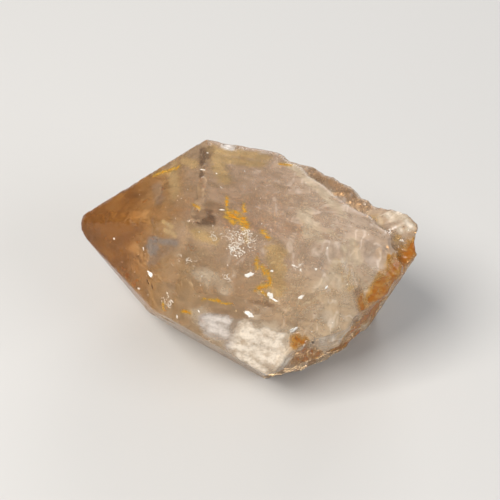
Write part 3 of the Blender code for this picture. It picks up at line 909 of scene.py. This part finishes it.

# %% [markdown]
# The crumbs are bits of white quartz caught in pits, and the whitest things on the crystal. Some of
# them are painted glints as well: white specks laid where small ridges catch the light, most of all
# the many tiny seeded ones on the front. Each listed crumb lies where a stroke says, half sunk in the
# skin. More of them, at seeded places, carry the same dusting round to the back. They are modelled,
# because a bump wouldn't catch the light as they do.

# %% Scatter the white crumbs and painted glints
CRUMBS_AND_GLINTS = [
    ((13.3, -9.8, 17.5), (13.9, -10.6, 17.4), 0.36), ((26.8, -11.1, 22.1), (27.5, -10.9, 22.5), 0.42),
    ((30.2, -12.0, 20.5), (30.7, -12.4, 19.7), 0.5), ((30.8, -12.4, 19.7), (31.5, -12.7, 19.7), 0.2),
    ((27.6, -13.7, 17.5), (28.5, -14.0, 17.3), 0.4), ((34.5, -14.7, 16.3), (35.1, -13.9, 16.2), 0.5),
    ((34.4, -12.2, 20.6), (34.9, -12.0, 20.9), 0.3), ((29.9, -10.6, 23.3), (30.2, -10.6, 23.4), 0.2),
    ((35.8, -9.9, 24.5), (36.0, -9.9, 24.6), 0.2), ((37.6, -11.1, 22.3), (38.0, -10.7, 22.4), 0.2),
    ((7.3, -4.6, 17.3), (7.4, -4.8, 17.3), 0.17), ((32.7, -9.9, 24.5), (33.0, -10.0, 24.5), 0.16),
    ((21.6, -5.3, 27.8), (22.2, -5.2, 27.8), 0.15), ((33.8, -10.1, 24.2), (33.9, -10.2, 24.1), 0.16),
    ((36.8, -8.1, 27.3), (36.8, -8.2, 27.0), 0.14), ((24.6, -10.0, 24.5), (25.0, -10.0, 24.4), 0.15),
    ((16.4, -12.8, 17.5), (16.6, -13.0, 17.4), 0.10), ((17.1, -13.7, 17.1), (17.5, -14.0, 17.1), 0.09),
    ((21.1, -14.4, 16.8), (21.3, -14.5, 16.6), 0.12), ((18.3, -15.0, 15.7), (18.4, -15.2, 15.3), 0.13),
    ((12.1, -10.6, 14.5), (12.4, -10.8, 14.7), 0.18), ((18.2, 5.3, 27.8), (18.4, 5.2, 27.8), 0.14),
    ((20.3, 7.1, 27.8), (21.3, 6.8, 27.8), 0.13), ((17.8, 1.7, 27.8), (18.5, 1.7, 27.8), 0.11),
    ((20.1, 1.5, 27.8), (20.2, 1.4, 27.8), 0.12), ((11.9, -7.4, 19.8), (12.1, -7.7, 19.5), 0.13),
]
FRONT_GLINT_CRUMBS, BACK_CRUMBS = 220, 60
FRONT_GLINT_WIDTHS, BACK_WIDTHS = (0.025, 0.08), (0.06, 0.26)
LONGEST_STEP = 0.18
CRUMB_FORM = (0.4, 0.75, 0.3)  # added length, width and height, for each millimetre of half width
CRUMB_RAGGED = 0.9
LARGE_CRUMB = 0.3
BACK_FROM = 0.1
PAST_TIP = 9.0
random.seed(11)


def add_crumb(shape, start, end, half_width, detail):
    """A ragged crumb that lies on the skin along a stroke."""
    middle = (Vector(start) + Vector(end)) / 2
    along = Vector(end) - Vector(start)
    found, way = nearest_skin(middle)
    longer, wide, high = (half_width * share for share in CRUMB_FORM)
    sizes = (along.length / 2 + longer, wide, high)
    add_lump(shape, found, frame_along(way, along), sizes, detail, CRUMB_RAGGED)


def random_skin_place(test):
    """A seeded place on the skin for which the test holds, and the way it faces."""
    while True:
        index = random.randrange(len(points))
        if test(Vector(local[index]), Vector(ways[index])):
            return Vector(local[index]), Vector(ways[index])


crumb_shape = bmesh.new()
for start, end, half_width in CRUMBS_AND_GLINTS:
    add_crumb(crumb_shape, start, end, half_width, 3 if half_width > LARGE_CRUMB else 2)
# the many tiny ones on the front are painted glints; the larger ones behind are white dust
for index in range(FRONT_GLINT_CRUMBS + BACK_CRUMBS):
    at_front = index < FRONT_GLINT_CRUMBS
    place, way = random_skin_place(
        lambda at, facing: (facing.y < BACK_FROM) == at_front and at.x > PAST_TIP
    )
    stroke = Vector([random.uniform(-1, 1) for _ in range(3)]) * LONGEST_STEP
    half_width = random.uniform(*(FRONT_GLINT_WIDTHS if at_front else BACK_WIDTHS))
    add_crumb(crumb_shape, place, place + stroke, half_width, 1 if at_front else 2)
white = lump_material("white_dust_and_painted_glints", (0.93, 0.91, 0.87), (0.80, 0.74, 0.66), 0.4, 0.35, 61.0)
piece_of("crumbs_and_painted_glints", crumb_shape, white)

# %% [markdown]
# Under the top front edge lies a patch of bright curls, where a film in the quartz ends in lobes.
# Their pale colour is a painted glint, the light that the lobes catch at their edges.
# Each curl is part of a ring: a curve with a small section, drawn to a point at its ends. Curves
# keep an even thickness where spun meshes would pinch. Seeded sizes and turns make the lace, a
# fine dot lies by each curl, and smaller patches lie further along.

# %% Draw the curled film
CURL_PATCHES = [
    # middle of the patch, half length along and half width across, number of curls
    ((25.2, -8.9, 26.2), 1.9, 2.0, 90), ((21.6, -8.9, 26.3), 1.7, 0.5, 9),
    ((33.6, -10.1, 24.3), 0.9, 0.8, 9), ((24.6, -11.6, 21.6), 0.9, 0.7, 8),
    ((16.6, -13.4, 16.6), 1.1, 0.9, 9), ((36.4, -14.6, 13.5), 0.7, 1.9, 14),
    ((18.6, -10.6, 22.4), 2.4, 0.7, 8), ((30.0, 9.6, 20.0), 1.6, 1.4, 20),
]
CURL_RADII = (0.14, 0.48)
CURL_WIDTHS = (0.016, 0.06)
CURL_SWEEPS = (0.4, 1.5)  # in half turns
CURL_STEPS = 9
CURL_FLATNESS = 0.8
CURL_POINT = 0.15  # how thick the ends are, as a share of the middle
PATCH_FILL = 0.95
DOT_FORM = (1.8, 1.0, 0.4)
DOT_WIDTHS = (0.02, 0.075)
DOT_ASTRAY = 0.3
random.seed(23)
curls = bpy.data.curves.new("film_curls", "CURVE")
curls.dimensions = "3D"
curls.bevel_depth = MM
curls.bevel_resolution = 0
curls.use_fill_caps = True
dots_shape = bmesh.new()


def add_curl(centre, way, radius, width, turn, sweep):
    """An arc that lies on the skin, thickest in its middle and pointed at both ends."""
    lay = frame_along(way, Vector((1, 0, 0))).to_3x3()
    arc = curls.splines.new("POLY")
    arc.points.add(CURL_STEPS - 1)
    for step, point in enumerate(arc.points):
        share = step / (CURL_STEPS - 1)
        angle = turn + sweep * share
        middle = Vector((math.cos(angle), math.sin(angle) * CURL_FLATNESS, 0)) * radius
        point.co = (*((centre + lay @ middle) * MM), 1)
        point.radius = width * (CURL_POINT + (1 - CURL_POINT) * math.sin(math.pi * share))


for middle, half_long, half_wide, count in CURL_PATCHES:
    found, way = nearest_skin(middle)
    lay = frame_along(way, Vector((1, 0, 0))).to_3x3()
    for _ in range(count):
        spread = math.sqrt(random.random()) * PATCH_FILL
        angle = random.uniform(0, 2 * math.pi)
        offset = Vector((math.cos(angle) * half_long, math.sin(angle) * half_wide, 0)) * spread
        on_skin, facing = nearest_skin(found - TIP + lay @ offset)
        add_curl(
            on_skin, facing, random.uniform(*CURL_RADII), random.uniform(*CURL_WIDTHS),
            random.uniform(0, 2 * math.pi), random.uniform(*CURL_SWEEPS) * math.pi,
        )
        astray = lay @ Vector((random.gauss(0, DOT_ASTRAY), random.gauss(0, DOT_ASTRAY), 0))
        on_skin, facing = nearest_skin(found - TIP + lay @ offset + astray)
        half_width = random.uniform(*DOT_WIDTHS)
        turned = frame_along(facing, Vector((random.gauss(0, 1), 0.3, random.gauss(0, 1))))
        sizes = [half_width * share for share in DOT_FORM]
        add_lump(dots_shape, on_skin, turned, sizes, ragged=0.5)
curl_shape = bmesh.new()
curl_shape.from_mesh(mesh_from(curls))
# the curls and their dots are painted pale, as glints on the film's edges
film = lump_material("film_with_painted_glints", (0.90, 0.86, 0.78), (0.72, 0.63, 0.52), 0.5, 0.25, 65.0)
piece_of("film_curls", curl_shape, film, smooth=True)
piece_of("film_dots", dots_shape, film)

# %% [markdown]
# Inside, the base half is milky. A volume would give a plain fog, so the milk is made of clouds of
# threads: fine, long lumps that lie roughly one way with a slow bend, thickest towards the break.

# %% Fill the base half with milky threads
THREADS = 1500
THREAD_LENGTHS = (0.12, 0.6)
THREAD_WIDTHS = (0.02, 0.06)
THREAD_WAY = Vector((0.55, -0.25, 0.45))
THREAD_FLATNESS = 4.0
THREAD_BEND_LENGTH, THREAD_BEND = 6.0, 1.3
CLOUD_LOW, CLOUD_HIGH = (26.0, -16.0, 1.0), (49.0, 16.0, 27.0)
CLOUD_RISE = 12.0  # how far from its start the cloud gets thick
BILLOW_LENGTH, BILLOW = 4.5, 1.6
BILLOW_SHIFT = Vector((5, 2, 9))
random.seed(37)
noise.seed_set(37)  # without it the bend would change from run to run


def cloud_weight(place):
    """Thicker towards the base, and in billows."""
    towards = min(1.0, max(0.05, (place.x - CLOUD_LOW[0]) / CLOUD_RISE))
    billow = noise.noise(place / BILLOW_LENGTH + BILLOW_SHIFT) * BILLOW
    return towards * min(1.0, max(0.04, 0.5 + billow))


def random_place_in_cloud(least_depth=0.25):
    """A seeded place well inside the crystal, more often where the cloud is thick."""
    while True:
        place = Vector([random.uniform(*ends) for ends in zip(CLOUD_LOW, CLOUD_HIGH)])
        if random.random() < cloud_weight(place) and depth_of(place) > least_depth:
            return place


thread_shape = bmesh.new()
for _ in range(THREADS):
    place = random_place_in_cloud()
    bend = noise.noise_vector(place / THREAD_BEND_LENGTH) * THREAD_BEND
    along = (THREAD_WAY + bend).normalized()
    way = along.cross(random_way()).normalized()
    width = random.uniform(*THREAD_WIDTHS)
    sizes = (random.uniform(*THREAD_LENGTHS), width * THREAD_FLATNESS, width)
    add_lump(thread_shape, TIP + place, frame_along(way, along), sizes)
milk = lump_material("milky_threads", (0.97, 0.95, 0.91), (0.93, 0.88, 0.80), 3.0, 0.6, 71.0)
piece_of("milky_threads", thread_shape, milk)

# %% [markdown]
# Old cracks have healed as the crystal grew, and tiny bubbles are left on them. Such a crack is a
# gently bent sheet, and it could be a thin surface with a pattern. Dots are used because they
# glint one by one. A noise leaves gaps between them.

# %% Dot the healed cracks
HEALED_CRACKS = [
    # middle, the way the sheet faces, half length, half width, number of dots
    ((24.0, -4.0, 22.0), (0.3, -0.6, 0.7), 6.5, 3.5, 420),
    ((30.0, 3.0, 20.0), (-0.4, 0.2, 0.9), 6.0, 4.0, 320),
    ((13.5, -3.5, 19.0), (0.8, -0.4, 0.4), 3.5, 3.0, 160),
    ((20.0, 6.0, 14.0), (0.2, 0.9, 0.4), 5.5, 4.0, 220),
    ((37.0, -4.0, 18.0), (0.9, -0.2, 0.3), 5.0, 6.0, 420),
]
SHEET_BEND, SHEET_BEND_LENGTH = 1.2, 3.5
GAP_LENGTH, GAP_BELOW = 1.6, -0.05
BUBBLE_RADII = (0.03, 0.085)
BUBBLE_FORM = (1.6, 1.0, 0.6)
LEAST_BUBBLE_DEPTH = 0.2
random.seed(41)
dot_shape = bmesh.new()
for middle, facing, half_long, half_wide, count in HEALED_CRACKS:
    lay = frame_along(Vector(facing).normalized(), Vector((1, 0.2, 0))).to_3x3()
    for _ in range(count):
        flat = Vector((random.uniform(-1, 1) * half_long, random.uniform(-1, 1) * half_wide, 0))
        if noise.noise(flat / GAP_LENGTH + Vector(middle)) < GAP_BELOW or flat.length > half_long:
            continue
        flat.z = noise.noise(flat / SHEET_BEND_LENGTH) * SHEET_BEND
        place = Vector(middle) + lay @ flat
        if depth_of(place) < LEAST_BUBBLE_DEPTH:
            continue
        radius = random.uniform(*BUBBLE_RADII)
        add_lump(dot_shape, TIP + place, lay.to_4x4(), [radius * share for share in BUBBLE_FORM])
dots = lump_material("healed_crack_dots", (0.90, 0.87, 0.80), (0.50, 0.42, 0.33), 1.2, 0.3, 75.0)
piece_of("healed_cracks", dot_shape, dots)

# %% [markdown]
# The iron stains aren't only skin deep. Thin flakes float below them, so that a stain looks deep
# when the eye moves. They gather under the same strokes that paint the stains.

# %% Float the iron flakes
IRON_FLAKES = 170
RIM_STROKES = 6  # the first strokes of rust lie on the broken rim
FLAKE_ASTRAY = 0.8
FLAKE_FORM = (1.8, 1.0, 0.12)
FLAKE_RADII = (0.06, 0.22)
FLAKE_DEPTHS = (0.3, 1.6)
LEAST_FLAKE_DEPTH = 0.12
random.seed(43)
flake_shape = bmesh.new()
for _ in range(IRON_FLAKES):
    start, end, half_width = random.choice(MARKS["stain"] + MARKS["rust"][:RIM_STROKES])
    middle = Vector(start).lerp(Vector(end), random.random())
    found, way = nearest_skin(middle)
    sideways = random_way() * half_width * FLAKE_ASTRAY
    place = found - TIP + sideways - way * random.uniform(*FLAKE_DEPTHS)
    if depth_of(place) < LEAST_FLAKE_DEPTH:
        continue
    radius = random.uniform(*FLAKE_RADII)
    turn = frame_along(random_way().normalized(), Vector((1, 0.1, 0.2)))
    sizes = [radius * share for share in FLAKE_FORM]
    add_lump(flake_shape, TIP + place, turn, sizes, 2, ragged=0.8)
flakes = lump_material("iron_flakes", (0.80, 0.42, 0.03), (0.66, 0.24, 0.01), 0.8, 0.4, 81.0)
piece_of("iron_flakes", flake_shape, flakes)

# %% [markdown]
# A few dark specks and short dark lines lie on the front: grains of an iron mineral, and the mouths
# of cracks that have filled with dirt. They are thin lumps laid along short strokes, as the crumbs
# are. Seeded ones carry them round to the back.

# %% Lay in the dark specks
DARK_SPECKS = [
    ((13.2, -10.4, 16.6), (13.6, -11.0, 16.3), 0.15), ((13.9, -11.0, 16.7), (14.3, -11.7, 16.2), 0.17),
    ((36.8, -12.8, 18.8), (37.2, -12.8, 18.7), 0.13), ((37.7, -12.9, 12.7), (38.0, -12.5, 11.5), 0.22),
    ((10.5, -5.8, 20.4), (11.6, -6.4, 21.1), 0.05), ((12.2, -6.6, 21.6), (13.2, -7.2, 22.2), 0.05),
    ((6.6, -3.0, 19.0), (8.9, -4.1, 20.8), 0.03), ((14.8, -6.6, 25.6), (16.3, -7.5, 26.5), 0.05),
    ((17.1, 6.3, 27.4), (17.6, 4.0, 27.7), 0.04), ((34.9, -15.1, 15.6), (35.3, -15.3, 15.3), 0.10),
    ((13.7, -7.7, 22.2), (13.9, -7.9, 22.1), 0.11), ((12.5, -8.8, 18.3), (14.1, -9.8, 19.0), 0.03),
    ((22.7, -1.4, 27.8), (23.9, -1.3, 27.8), 0.04), ((18.1, 2.4, 27.8), (18.4, 1.9, 27.8), 0.10),
    ((38.7, -12.6, 12.7), (39.2, -12.1, 11.5), 0.08),
]
HIDDEN_SPECKS = 24
HIDDEN_SPECK_WIDTHS = (0.05, 0.16)
SPECK_LEAN = 0.3
random.seed(47)
speck_shape = bmesh.new()
for start, end, half_width in DARK_SPECKS:
    add_crumb(speck_shape, start, end, half_width, 2)
for _ in range(HIDDEN_SPECKS):
    place, way = random_skin_place(lambda at, facing: facing.y > BACK_FROM and at.x > PAST_TIP)
    lean = random_way(SPECK_LEAN)
    add_crumb(speck_shape, place, place + lean, random.uniform(*HIDDEN_SPECK_WIDTHS), 2)
specks = lump_material("dark_iron", (0.060, 0.028, 0.012), (0.16, 0.070, 0.018), 0.4, 0.4, 85.0)
piece_of("dark_specks", speck_shape, specks)
